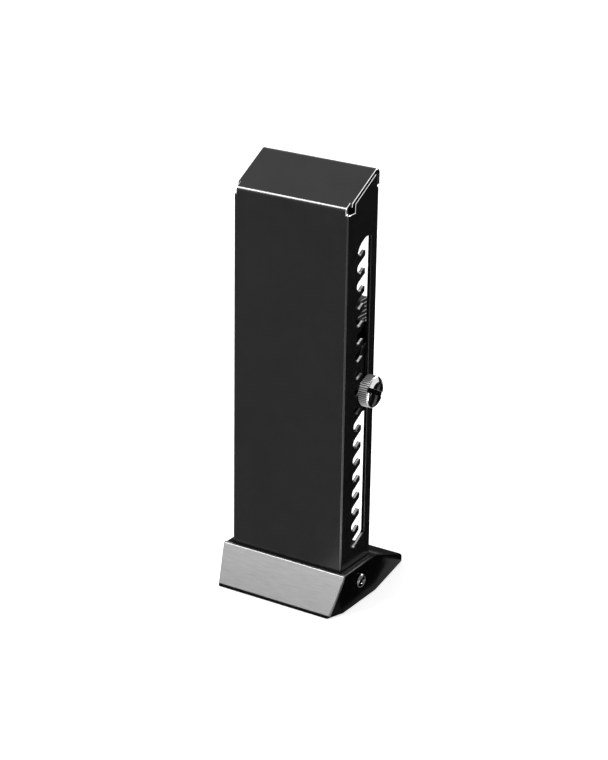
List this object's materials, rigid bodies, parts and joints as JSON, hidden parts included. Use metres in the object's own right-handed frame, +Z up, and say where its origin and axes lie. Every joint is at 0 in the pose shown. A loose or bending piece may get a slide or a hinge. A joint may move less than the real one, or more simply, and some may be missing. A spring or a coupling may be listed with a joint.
{
  "type": "graphics card support bracket",
  "caption": "Free-standing support for the sagging end of a graphics card: a slotted steel column on a wedge base, with a padded arm set in height and clamped by a thumbscrew.",
  "frame": {"origin": "centre of the base's underside, on the foot pad", "axes": "+Z up along the column; +Y to the back, the way the arm reaches under the card; +X to the side with the thumbscrew"},
  "size_m": [0.0609, 0.0607, 0.1746],
  "materials": {
    "black_steel": "satin black powder coat",
    "black_moulding": "fine matt moulding texture",
    "brushed_plate": "brushed lengthways, broken edges",
    "plated_steel": "zinc plated",
    "bright_metal": "bright nickel plate",
    "nylon": "plain",
    "rubber": "matt"
  },
  "bodies": {
    "stand": {"column": "black_steel", "base_shell": "black_moulding", "front_plate": "brushed_plate", "base_screw_right": "plated_steel", "base_screw_left": "plated_steel", "bottom_cover": "plated_steel", "cover_screw_1": "plated_steel", "cover_screw_2": "plated_steel", "cover_screw_3": "plated_steel", "cover_screw_4": "plated_steel", "foot_pad": "rubber"},
    "arm": {"arm": "black_steel", "arm_pad": "rubber", "clinch_nut": "plated_steel", "guide_pin": "plated_steel"},
    "washer": {"thumbscrew_washer": "nylon"},
    "thumbscrew": {"thumbscrew": "bright_metal"}
  },
  "joints": [
    {"name": "arm_height", "type": "slide", "parent": "stand", "child": "arm", "axis": [0, 0, 1], "range_m": [-0.0595, 0.0599]},
    {"name": "washer_travel", "type": "slide", "parent": "arm", "child": "washer", "axis": [1, 0, 0], "range_m": [0, 0.0024]},
    {"name": "thumbscrew_turn", "type": "hinge", "parent": "washer", "child": "thumbscrew", "pos_m": [0.0253, -0.0053, 0.088], "axis": [1, 0, 0], "range_deg": [0, 1080]}
  ],
  "couplings": [
    {"joint": "washer_travel", "follows": "thumbscrew_turn", "m_per_rad": 0.00012633}
  ]
}
